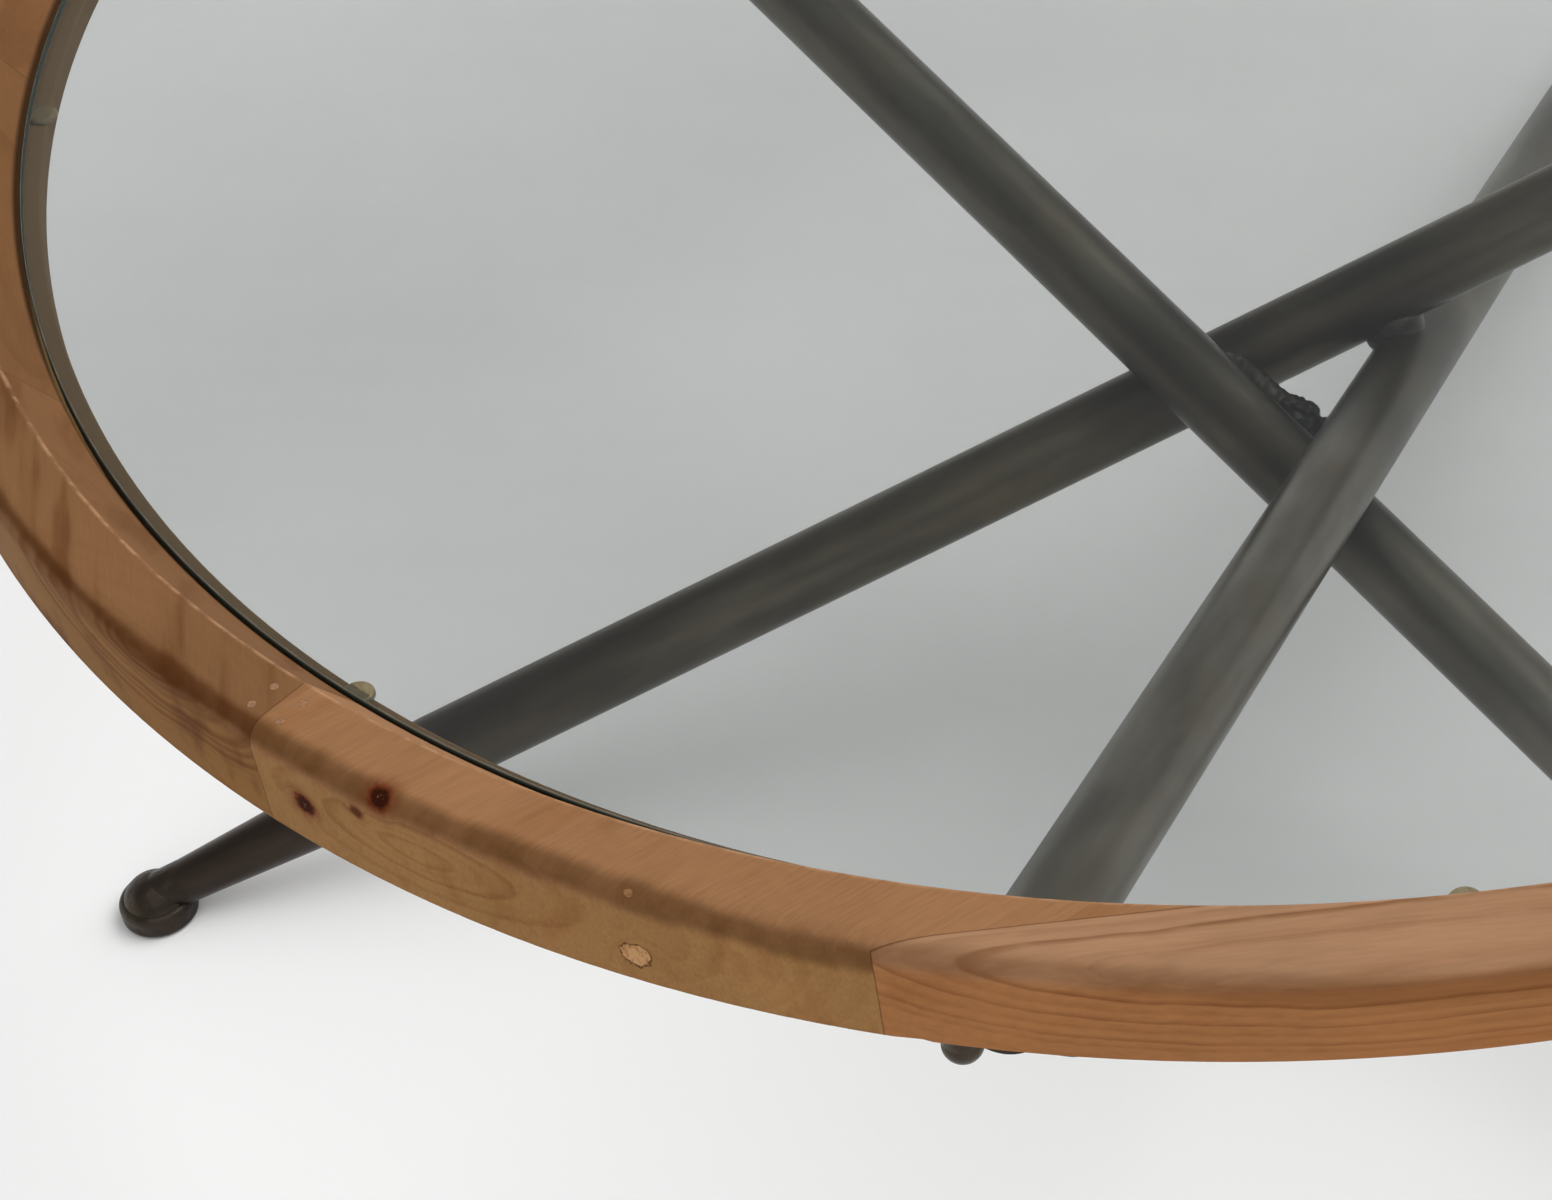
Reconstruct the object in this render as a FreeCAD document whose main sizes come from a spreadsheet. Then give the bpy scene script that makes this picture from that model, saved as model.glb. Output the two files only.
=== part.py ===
import FreeCAD, Part
import itertools
import math
import os
import Sketcher

# Round coffee table: a segmented solid wood rim holds a loose glass top, and three straight
# steel tubes cross near the middle and carry the rim. Millimetres, +Z up, and the origin
# lies on the floor under the centre of the rim.

sizes = {
    # Whole table.
    "outer_radius": 533.0,
    "table_height": 430.0,
    # Rim section, from the ridge of the rim outwards, inwards and down.
    "rim_height": 42.0,
    "face_width": 25.5,
    "bevel_run": 16.5,
    "bevel_drop": 23.0,
    "ledge_width": 8.5,
    "shoulder_radius": 8.0,
    "ridge_radius": 0.8,
    "lower_edge_radius": 2.0,
    "ledge_edge_radius": 1.0,
    # Rim segments and what joins them.
    "segment_count": 15,
    "first_joint_angle": -124.0,
    "scarf_angle": -80.0,
    "scarf_inset": 31.6,
    "bow_turn": 39.0,
    "tenon_thickness": 8.0,
    "tenon_width": 22.0,
    "tenon_length": 50.0,
    "tenon_depth": 15.0,
    "tenon_inset": 17.0,
    "tenon_clearance": 0.1,
    "plug_diameter": 3.0,
    "plug_length": 8.0,
    "plug_offset": 6.7,
    "plug_inner_inset": 18.6,
    "plug_outer_inset": 9.0,
    "plug_clearance": 0.05,
    # Glass top and its bumpers.
    "glass_thickness": 8.0,
    "glass_edge_gap": 1.5,
    "glass_arris": 0.8,
    "bumper_count": 8,
    "first_bumper_angle": -125.0,
    "bumper_diameter": 11.5,
    "bumper_height": 2.0,
    "bumper_rim": 0.6,
    "bumper_side_gap": 0.4,
    "bumper_gap": 0.3,
    # Leg tubes.
    "leg_count": 3,
    "tube_diameter": 33.7,
    "tube_wall": 2.6,
    "crossing_gap": 0.6,
    "taper_length": 127.0,
    "taper_end_diameter": 20.5,
    "tube_end_setback": 21.8,
    # Feet.
    "foot_circle_radius": 534.0,
    "first_foot_angle": -165.0,
    "foot_diameter": 34.5,
    "foot_height": 12.0,
    "foot_crown_radius": 4.0,
    "foot_sole_radius": 3.0,
    "foot_dome_diameter": 31.0,
    "foot_dome_base": 6.0,
    "foot_axis_height": 11.0,
    "foot_tube_gap": 2.0,
    "spigot_length": 14.0,
    "spigot_clearance": 0.1,
    # Upper ends: collar, stem and mounting plate.
    "mount_inset": 25.0,
    "mount_axis_depth": 25.2,
    "collar_thickness": 2.5,
    "plug_in_length": 18.0,
    "stem_diameter": 13.0,
    "stem_shift": 4.6,
    "knuckle_diameter": 13.8,
    "knuckle_overrun": 4.0,
    "plate_width": 38.0,
    "plate_length": 84.0,
    "plate_thickness": 5.0,
    "plate_corner_radius": 8.0,
    # Screws that hold the plates to the rim.
    "screw_diameter": 4.5,
    "screw_length": 24.0,
    "screw_point_length": 6.0,
    "screw_head_diameter": 9.0,
    "screw_head_height": 2.6,
    "screw_span": 68.0,
    "screw_gauge": 24.0,
    "screw_clearance": 0.25,
    "pilot_clearance": 0.05,
    "pilot_overrun": 1.0,
    # Welds at the crossings of the tubes.
    "weld_radius": 13.5,
    "weld_bead_radius": 6.0,
    "weld_bead_shift": 9.0,
}

document = FreeCAD.newDocument("coffee_table")


class Length:
    """A number together with the formula that gives it from the sheet."""

    def __init__(self, value, text):
        self.value = float(value)
        self.text = text

    def __add__(self, other):
        return Length(self.value + value_of(other), f"{self.text} + {text_of(other)}")

    def __sub__(self, other):
        return Length(self.value - value_of(other), f"{self.text} - ({text_of(other)})")

    def __mul__(self, factor):
        return Length(self.value * value_of(factor), f"({self.text}) * {text_of(factor)}")

    def __truediv__(self, factor):
        return Length(self.value / value_of(factor), f"({self.text}) / {text_of(factor)}")

    def __neg__(self):
        return Length(-self.value, f"-({self.text})")


def value_of(item):
    return item.value if isinstance(item, Length) else float(item)


def text_of(item):
    return f"({item.text})" if isinstance(item, Length) else repr(item)


sheet = document.addObject("Spreadsheet::Sheet", "Sizes")
free_rows = itertools.count(1)


def add_rows(numbers):
    """Write numbers to the sheet, one row each, with their names as the aliases."""
    for name, value in numbers.items():
        row = next(free_rows)
        sheet.set(f"A{row}", name)
        sheet.set(f"B{row}", str(value))
        sheet.setAlias(f"B{row}", name)
    document.recompute()


def size(name):
    return Length(sheet.get(name), f"Sizes.{name}")


add_rows(sizes)
zero = Length(0.0, "0")
full_turn = Length(360.0, "360")


# Heights and radii of the rim that other pieces share.
rim_top = size("table_height")
rim_bottom = rim_top - size("rim_height")
outer = size("outer_radius")
ridge = outer - size("face_width")
lip = ridge - size("bevel_run")
ledge_inner = lip - size("ledge_width")
lip_height = rim_top - size("bevel_drop")
glass_bottom = lip_height - size("glass_thickness")
ledge_height = glass_bottom - size("bumper_height") - size("bumper_gap")
segment_turn = full_turn / size("segment_count")
segment_angle = segment_turn.value
match_tolerance = outer.value * 1e-7
mount_radius = outer - size("mount_inset")


def bind(item, prop, length):
    item.setExpression(prop, length.text)


def new_body(label):
    body = document.addObject("PartDesign::Body", label)
    body.Label = label
    return body


def origin_plane(body, role):
    return next(item for item in body.Origin.OriginFeatures if item.Role == role)


def new_sketch(body, name, role="XZ_Plane", offset=None):
    sketch = body.newObject("Sketcher::SketchObject", name)
    sketch.AttachmentSupport = [(origin_plane(body, role), "")]
    sketch.MapMode = "FlatFace"
    if offset is not None:
        sketch.AttachmentOffset = offset
    return sketch


def pin_point(sketch, geometry, end, across, up):
    """Hold one end of a line at a place given by two lengths from the sketch's origin."""
    for kind, length in (("DistanceX", across), ("DistanceY", up)):
        if length.text == "0":
            index = 2 if kind == "DistanceX" else 1
            sketch.addConstraint(Sketcher.Constraint("PointOnObject", geometry, end, -index))
            continue
        number = sketch.addConstraint(
            Sketcher.Constraint(kind, -1, 1, geometry, end, length.value)
        )
        bind(sketch, f"Constraints[{number}]", length)


def draw_polygon(sketch, points):
    """Closed outline of straight lines whose corners are all tied to the sheet."""
    corners = [FreeCAD.Vector(x.value, y.value, 0) for x, y in points]
    count = len(corners)
    for index in range(count):
        line = Part.LineSegment(corners[index], corners[(index + 1) % count])
        sketch.addGeometry(line, False)
    for index in range(count):
        following = (index + 1) % count
        sketch.addConstraint(Sketcher.Constraint("Coincident", index, 2, following, 1))
    for index, (x, y) in enumerate(points):
        pin_point(sketch, index, 1, x, y)


def draw_circle(sketch, across, up, radius):
    centre = FreeCAD.Vector(across.value, up.value, 0)
    normal = FreeCAD.Vector(0, 0, 1)
    number = sketch.addGeometry(Part.Circle(centre, normal, radius.value), False)
    pin_point(sketch, number, 3, across, up)
    held = sketch.addConstraint(Sketcher.Constraint("Radius", number, radius.value))
    bind(sketch, f"Constraints[{held}]", radius)


def revolve(body, name, sketch, turn=full_turn):
    """Turn a sketch about its own upright axis."""
    feature = body.newObject("PartDesign::Revolution", name)
    feature.Profile = sketch
    feature.ReferenceAxis = (sketch, ["V_Axis"])
    bind(feature, "Angle", turn)
    body.Tip = feature
    return feature


def pocket(body, name, sketch, depth, reverse):
    """Cut a sketch to a depth, and stop if nothing was cut."""
    before = body.Shape.Volume
    feature = body.newObject("PartDesign::Pocket", name)
    feature.Profile = sketch
    feature.Reversed = reverse
    bind(feature, "Length", depth)
    body.Tip = feature
    document.recompute()
    if not body.Shape.Volume < before:
        raise RuntimeError(f"{body.Label}: {name} cuts nothing")
    return feature


def ring_edges(shape, radius, height):
    """Names of the circular edges of a shape that lie at a radius and a height."""
    names = []
    for number, edge in enumerate(shape.Edges, start=1):
        if not isinstance(edge.Curve, Part.Circle):
            continue
        if abs(edge.Curve.Radius - radius.value) > match_tolerance:
            continue
        if abs(edge.Curve.Center.z - height.value) > match_tolerance:
            continue
        names.append(f"Edge{number}")
    return names


def fillet(body, name, radius, places, kind="PartDesign::Fillet", prop="Radius"):
    """Round or bevel the circular edges at the given radii and heights."""
    document.recompute()
    base = body.Tip
    names = [edge for place in places for edge in ring_edges(base.Shape, *place)]
    if len(names) < len(places):
        raise RuntimeError(f"{body.Label}: {name} finds too few edges")
    feature = body.newObject(kind, name)
    feature.Base = (base, names)
    bind(feature, prop, radius)
    body.Tip = feature
    document.recompute()
    return feature


def turned(angle):
    return FreeCAD.Placement(FreeCAD.Vector(), FreeCAD.Rotation(FreeCAD.Vector(0, 0, 1), angle))


def polar(radius, angle, height):
    turn = math.radians(angle)
    return FreeCAD.Vector(radius * math.cos(turn), radius * math.sin(turn), height)


def pattern(body, name, originals, count, turn=full_turn):
    """Repeat features round the table's axis, over a whole turn or a part of one."""
    feature = body.newObject("PartDesign::PolarPattern", name)
    feature.Originals = originals
    feature.Axis = (origin_plane(body, "Z_Axis"), [""])
    bind(feature, "Angle", turn)
    bind(feature, "Occurrences", count)
    body.Tip = feature
    document.recompute()
    return feature


def shift_sketch(sketch, across, out=None):
    """Move a sketch on the XZ plane along X, and along Y when a second length is given."""
    bind(sketch, "AttachmentOffset.Base.x", across)
    if out is not None:
        bind(sketch, "AttachmentOffset.Base.z", -out)


def draw_slot(sketch, across, up, length, width):
    """Outline with straight sides along X and round ends."""
    half_run = (length - width) / 2
    half_width = width / 2
    left, right = across - half_run, across + half_run
    low, high = up - half_width, up + half_width
    normal = FreeCAD.Vector(0, 0, 1)

    def point(x, y):
        return FreeCAD.Vector(x.value, y.value, 0)

    def half_circle(x, start):
        circle = Part.Circle(point(x, up), normal, half_width.value)
        return Part.ArcOfCircle(circle, start, start + math.pi)

    sketch.addGeometry(Part.LineSegment(point(left, low), point(right, low)), False)
    sketch.addGeometry(half_circle(right, -math.pi / 2), False)
    sketch.addGeometry(Part.LineSegment(point(right, high), point(left, high)), False)
    sketch.addGeometry(half_circle(left, math.pi / 2), False)
    for index in range(4):
        sketch.addConstraint(Sketcher.Constraint("Coincident", index, 2, (index + 1) % 4, 1))
    pin_point(sketch, 0, 1, left, low)
    pin_point(sketch, 0, 2, right, low)
    pin_point(sketch, 2, 1, right, high)
    pin_point(sketch, 2, 2, left, high)
    for arc, x in ((1, right), (3, left)):
        number = sketch.addConstraint(
            Sketcher.Constraint("DistanceX", -1, 1, arc, 3, x.value)
        )
        bind(sketch, f"Constraints[{number}]", x)


def around_z(angle):
    """Rotation of an XZ sketch about the vertical axis of its own plane."""
    turn = FreeCAD.Rotation(FreeCAD.Vector(0, 1, 0), angle)
    return FreeCAD.Placement(FreeCAD.Vector(), turn)


# The lines of the leg tubes. Each passes the table's axis at a small distance, which follows
# from the tubes lying against each other where they cross.


def crossing_offset(rise):
    """Distance from the table's axis to a tube's centre line, for a rise angle in radians."""
    apart = sizes["tube_diameter"] + sizes["crossing_gap"]
    turn = 2.0 * math.pi / sizes["leg_count"]
    half_chord = math.sin(turn / 2.0)
    lean = math.sin(rise)
    spread = math.cos(rise) * math.cos(turn / 2.0)
    return apart * math.hypot(lean, spread) / (2.0 * half_chord * lean)


def leg_line():
    """Offset, run and rise of a leg from its foot to its mount, in its own upright plane."""
    climb = rim_bottom.value - sizes["mount_axis_depth"] - sizes["foot_axis_height"]
    foot_radius = sizes["foot_circle_radius"]
    rise = math.atan2(climb, foot_radius + mount_radius.value)
    for _ in range(40):
        offset = crossing_offset(rise)
        run_in = math.sqrt(foot_radius**2 - offset**2)
        run_out = math.sqrt(mount_radius.value**2 - offset**2)
        rise = math.atan2(climb, run_in + run_out)
    return offset, run_in, run_out, rise


leg_offset, run_in, run_out, leg_rise = leg_line()
add_rows({
    "leg_rise": math.degrees(leg_rise),
    "leg_length": (run_in + run_out) / math.cos(leg_rise),
})
rise_sine = Length(math.sin(leg_rise), "sin(Sizes.leg_rise)")
rise_cosine = Length(math.cos(leg_rise), "cos(Sizes.leg_rise)")
# A tube starts where its lower edge clears the side of the foot.
tube_start = (
    size("foot_diameter") / 2
    + size("foot_tube_gap")
    - size("taper_end_diameter") / 2 * rise_sine
) / rise_cosine
tube_end = size("leg_length") - size("tube_end_setback")
foot_lead = math.degrees(math.asin(leg_offset / sizes["foot_circle_radius"]))
mount_lead = math.degrees(math.asin(leg_offset / mount_radius.value))
leg_pitch = 360.0 / sizes["leg_count"]


def heading(index):
    """Direction in which a leg climbs, in degrees about the table's axis."""
    return sizes["first_foot_angle"] - 180.0 + foot_lead + leg_pitch * index


def leg_frame(index):
    """Frame at the foot end of a leg's centre line, with its Z axis along the tube."""
    foot = polar(sizes["foot_circle_radius"], heading(index) + 180.0 - foot_lead, 0.0)
    foot.z = sizes["foot_axis_height"]
    lay_down = FreeCAD.Rotation(FreeCAD.Vector(0, 1, 0), 90.0 - math.degrees(leg_rise))
    turn = FreeCAD.Rotation(FreeCAD.Vector(0, 0, 1), heading(index))
    return FreeCAD.Placement(foot, turn * lay_down)


def mount_angle(index):
    return heading(index) + mount_lead


def joint_angle(index):
    return sizes["first_joint_angle"] + segment_angle * index


def signed_angle(angle):
    return (angle + 180.0) % 360.0 - 180.0


# The second rim segment is a bow, scarfed onto the outside of its two neighbours, which meet
# behind it. The first of them is twice as long as the others. The joints under the bow have no
# tenon, and its own ends stop short of a sharp edge.
segment_count = sizes["segment_count"]
bow_index = 1
bow_joints = 2
tenon_joints = range(bow_joints + 1, segment_count + 1)
bow_half_turn = sizes["bow_turn"] / 2
bow_slope = Length(math.tan(math.radians(bow_half_turn)), "tan(Sizes.bow_turn / 2)")


# Screws of one mounting plate, as offsets outwards and sideways from the plate's centre.
screw_places = [
    (size("screw_gauge") * side_out / 2, size("screw_span") * side_along / 2)
    for side_out in (-1, 1)
    for side_along in (-1, 1)
]
plug_radii = [outer - size(name) for name in ("plug_inner_inset", "plug_outer_inset")]


def screw_spots():
    """Radius and angle of every screw about the table's axis."""
    spots = []
    for index in range(sizes["leg_count"]):
        for out, along in screw_places:
            x = mount_radius.value + out.value
            spots.append((math.hypot(x, along.value),
                          mount_angle(index) + math.degrees(math.atan2(along.value, x))))
    return spots


def plug_spots():
    """Radius and angle of the four plugs beside the first joint."""
    spots = []
    for radius in plug_radii:
        for side in (-1, 1):
            along = side * sizes["plug_offset"]
            spots.append((math.hypot(radius.value, along),
                          joint_angle(0) + math.degrees(math.atan2(along, radius.value))))
    return spots


def own_spots(spots, middle, half_turn):
    """The spots within a turn to either side of an angle, in the frame of that angle."""
    found = []
    for radius, angle in spots:
        local = signed_angle(angle - middle)
        if abs(local) < half_turn:
            found.append(polar(radius, local, 0.0))
    return found


def drill(body, name, spots, diameter, height, depth, upwards):
    """Blind holes at the spots, from a face at a height."""
    if not spots:
        return
    sketch = new_sketch(body, f"{name}_sketch", "XY_Plane")
    bind(sketch, "AttachmentOffset.Base.z", height)
    for spot in spots:
        radius = diameter.value / 2
        number = sketch.addGeometry(Part.Circle(spot, FreeCAD.Vector(0, 0, 1), radius), False)
        for kind, value in (("DistanceX", spot.x), ("DistanceY", spot.y)):
            sketch.addConstraint(Sketcher.Constraint(kind, -1, 1, number, 3, value))
        held = sketch.addConstraint(Sketcher.Constraint("Radius", number, radius))
        bind(sketch, f"Constraints[{held}]", diameter / 2)
    pocket(body, name, sketch, depth, upwards)


def rim_block(index, turn):
    """Body with the whole section of the rim, centred on the X axis."""
    body = new_body(f"rim_segment_{index + 1:02d}")
    profile = new_sketch(body, f"rim_profile_{index + 1}")
    draw_polygon(profile, [
        (ledge_inner, rim_bottom),
        (outer, rim_bottom),
        (outer, rim_top),
        (ridge, rim_top),
        (lip, lip_height),
        (lip, ledge_height),
        (ledge_inner, ledge_height),
    ])
    block = revolve(body, f"rim_block_{index + 1}", profile, turn)
    block.Midplane = True
    fillet(body, f"shoulder_{index + 1}", size("shoulder_radius"), [(outer, rim_top)])
    fillet(body, f"ridge_{index + 1}", size("ridge_radius"), [(ridge, rim_top)])
    fillet(body, f"lower_edge_{index + 1}", size("lower_edge_radius"), [(outer, rim_bottom)])
    fillet(body, f"ledge_edges_{index + 1}", size("ledge_edge_radius"),
           [(ledge_inner, ledge_height), (ledge_inner, rim_bottom)])
    return body


def cut_mortise(body, index, side, half_turn):
    """Slot for half a tenon in one end of a rim segment."""
    clearance = size("tenon_clearance")
    name = f"mortise_{index + 1}_{side + 2}"
    sketch = new_sketch(body, f"{name}_sketch", offset=around_z(side * half_turn))
    draw_slot(sketch, outer - size("tenon_inset"), rim_top - size("tenon_depth"),
              size("tenon_width") + clearance * 2, size("tenon_thickness") + clearance * 2)
    pocket(body, name, sketch, size("tenon_length") / 2 + clearance, side > 0)


def cut_scarf(body, index, middle, near, far, near_side, far_side):
    """Take away what lies between two distances from the table's axis, across the scarf."""
    turn = turned(sizes["scarf_angle"] - middle)
    sketch = new_sketch(body, f"scarf_sketch_{index + 1}", "XY_Plane", turn)
    draw_polygon(sketch, [(near, -near_side), (far, -far_side), (far, far_side), (near, near_side)])
    pocket(body, f"scarf_{index + 1}", sketch, rim_top + size("rim_height"), True)


def rim_segment(index):
    """One piece of the rim, with mortises for its tenons and holes for screws and plugs."""
    seam = outer - size("scarf_inset")
    if index == bow_index:
        middle = sizes["scarf_angle"]
        half_turn = bow_half_turn
        body = rim_block(index, size("bow_turn"))
        cut_scarf(body, index, middle, zero, seam, outer / 2, outer / 2)
    else:
        last = max(index + 1, bow_joints)
        middle = (joint_angle(index) + joint_angle(last)) / 2
        half_turn = segment_angle * (last - index) / 2
        body = rim_block(index, segment_turn * (last - index))
        if abs(index - bow_index) == 1:
            clear = outer + size("face_width")
            cut_scarf(body, index, middle, seam, clear, seam * bow_slope, clear * bow_slope)
        for side, joint in ((-1, index), (1, last)):
            if (joint or segment_count) in tenon_joints:
                cut_mortise(body, index, side, half_turn)
    drill(body, f"pilots_{index + 1}", own_spots(screw_spots(), middle, half_turn),
          size("screw_diameter") + size("pilot_clearance") * 2, rim_bottom,
          size("screw_length") - size("plate_thickness") + size("pilot_overrun"), True)
    drill(body, f"plug_holes_{index + 1}", own_spots(plug_spots(), middle, half_turn),
          size("plug_diameter") + size("plug_clearance") * 2, rim_top,
          size("plug_length"), False)
    body.Placement = turned(middle)


def joint_tenons():
    """Loose tenons that cross the square joints of the rim."""
    body = new_body("joint_tenons")
    body.AllowCompound = True
    sketch = new_sketch(body, "tenon_sketch")
    draw_slot(sketch, outer - size("tenon_inset"), rim_top - size("tenon_depth"),
              size("tenon_width"), size("tenon_thickness"))
    tenon = body.newObject("PartDesign::Pad", "tenon")
    tenon.Profile = sketch
    tenon.Midplane = True
    bind(tenon, "Length", size("tenon_length"))
    body.Tip = tenon
    count = size("segment_count") - bow_joints
    pattern(body, "tenon_ring", [tenon], count, segment_turn * (count - 1))
    body.Placement = turned(joint_angle(tenon_joints[0]))


def joint_plugs():
    """Four small plugs that close the pin holes beside the first joint."""
    body = new_body("joint_plugs")
    body.AllowCompound = True
    sketch = new_sketch(body, "plug_sketch", "XY_Plane")
    bind(sketch, "AttachmentOffset.Base.z", rim_top)
    for radius in plug_radii:
        for side in (-1, 1):
            draw_circle(sketch, radius, size("plug_offset") * side, size("plug_diameter") / 2)
    plugs = body.newObject("PartDesign::Pad", "plugs")
    plugs.Profile = sketch
    plugs.Reversed = True
    bind(plugs, "Length", size("plug_length"))
    body.Tip = plugs
    document.recompute()
    body.Placement = turned(joint_angle(0))


def glass_top():
    """Clear disc with a bevelled arris, let into the rim."""
    body = new_body("glass_top")
    edge = lip - size("glass_edge_gap")
    profile = new_sketch(body, "glass_profile")
    draw_polygon(profile, [
        (zero, glass_bottom),
        (edge, glass_bottom),
        (edge, lip_height),
        (zero, lip_height),
    ])
    revolve(body, "glass_disc", profile)
    fillet(body, "glass_arrises", size("glass_arris"), [(edge, glass_bottom), (edge, lip_height)],
           kind="PartDesign::Chamfer", prop="Size")


def glass_bumpers():
    """Clear bumpers stuck to the ledge under the glass."""
    body = new_body("glass_bumpers")
    body.AllowCompound = True
    radius = size("bumper_diameter") / 2
    seat = lip - size("bumper_side_gap") - radius
    top = ledge_height + size("bumper_height")
    profile = new_sketch(body, "bumper_profile")
    shift_sketch(profile, seat)
    draw_polygon(profile, [(zero, ledge_height), (radius, ledge_height), (radius, top), (zero, top)])
    dome = revolve(body, "bumper", profile)
    crown = fillet(body, "bumper_crown", size("bumper_height") - size("bumper_rim"), [(radius, top)])
    pattern(body, "bumper_ring", [dome, crown], size("bumper_count"))
    body.Placement = turned(sizes["first_bumper_angle"])


def leg_tube(index):
    """Straight tube whose lower end is swaged down to the neck of the foot."""
    body = new_body(f"leg_tube_{index + 1}")
    profile = new_sketch(body, f"tube_profile_{index + 1}")
    taper_top = tube_start + size("taper_length")
    wide, narrow = size("tube_diameter") / 2, size("taper_end_diameter") / 2
    wall = size("tube_wall")
    draw_polygon(profile, [
        (narrow - wall, tube_start),
        (narrow, tube_start),
        (wide, taper_top),
        (wide, tube_end),
        (wide - wall, tube_end),
        (wide - wall, taper_top),
    ])
    revolve(body, f"tube_{index + 1}", profile)
    document.recompute()
    body.Placement = leg_frame(index)


def add_primitive(body, kind, name, placement, **lengths):
    """Add a primitive to a body, with its sizes tied to the sheet."""
    feature = body.newObject(f"PartDesign::Additive{kind}", name)
    for prop, length in lengths.items():
        bind(feature, prop, length)
    feature.Placement = placement
    body.Tip = feature
    document.recompute()
    return feature


def leg_foot(index):
    """Forged knob with a flat sole and a dome, and the neck that the tube is welded to."""
    body = new_body(f"leg_foot_{index + 1}")
    radius, height = size("foot_diameter") / 2, size("foot_height")
    profile = new_sketch(body, f"foot_profile_{index + 1}")
    draw_polygon(profile, [(zero, zero), (radius, zero), (radius, height), (zero, height)])
    revolve(body, f"knob_{index + 1}", profile)
    fillet(body, f"crown_{index + 1}", size("foot_crown_radius"), [(radius, height)])
    fillet(body, f"sole_edge_{index + 1}", size("foot_sole_radius"), [(radius, zero)])
    # Only the upper half of the ball is built, so that nothing comes through the sole.
    dome_base = FreeCAD.Vector(0, 0, sizes["foot_dome_base"])
    dome = add_primitive(body, "Sphere", f"dome_{index + 1}",
                         FreeCAD.Placement(dome_base, FreeCAD.Rotation()),
                         Radius=size("foot_dome_diameter") / 2)
    dome.Angle1 = 0
    centre = FreeCAD.Vector(0, 0, sizes["foot_axis_height"])
    along = FreeCAD.Rotation(FreeCAD.Vector(0, 1, 0), 90.0 - math.degrees(leg_rise))
    neck_radius = size("taper_end_diameter") / 2
    add_primitive(body, "Cylinder", f"neck_{index + 1}", FreeCAD.Placement(centre, along),
                  Radius=neck_radius, Height=tube_start)
    neck_top = centre + along.multVec(FreeCAD.Vector(0, 0, tube_start.value))
    add_primitive(body, "Cylinder", f"spigot_{index + 1}", FreeCAD.Placement(neck_top, along),
                  Radius=neck_radius - size("tube_wall") - size("spigot_clearance"),
                  Height=size("spigot_length"))
    foot = polar(sizes["foot_circle_radius"], heading(index) + 180.0 - foot_lead, 0.0)
    body.Placement = FreeCAD.Placement(foot, turned(heading(index)).Rotation)


def leg_stem(index):
    """Solid end of a leg: a plug and collar close the tube, and a bent bar meets the plate."""
    body = new_body(f"leg_stem_{index + 1}")
    bore = size("tube_diameter") / 2 - size("tube_wall") - size("spigot_clearance")
    collar_top = tube_end + size("collar_thickness")
    knuckle_place = size("leg_length") + size("knuckle_overrun")

    def along(height, aside=zero):
        base = FreeCAD.Vector(0, -aside.value, height.value)
        return FreeCAD.Placement(base, FreeCAD.Rotation())

    add_primitive(body, "Cylinder", f"inner_plug_{index + 1}",
                  along(tube_end - size("plug_in_length")),
                  Radius=bore, Height=size("plug_in_length"))
    add_primitive(body, "Cylinder", f"collar_{index + 1}", along(tube_end),
                  Radius=size("tube_diameter") / 2, Height=size("collar_thickness"))
    add_primitive(body, "Cylinder", f"bar_{index + 1}", along(collar_top, size("stem_shift")),
                  Radius=size("stem_diameter") / 2, Height=knuckle_place - collar_top)
    knuckle = along(knuckle_place, size("stem_shift"))
    add_primitive(body, "Sphere", f"knuckle_{index + 1}", knuckle,
                  Radius=size("knuckle_diameter") / 2)
    upright = FreeCAD.Rotation(FreeCAD.Vector(0, 1, 0), math.degrees(leg_rise) - 90.0)
    climb = size("mount_axis_depth") - size("knuckle_overrun") * rise_sine
    add_primitive(body, "Cylinder", f"post_{index + 1}",
                  FreeCAD.Placement(knuckle.Base, upright),
                  Radius=size("stem_diameter") / 2, Height=climb - size("plate_thickness"))
    body.Placement = leg_frame(index)


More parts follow.
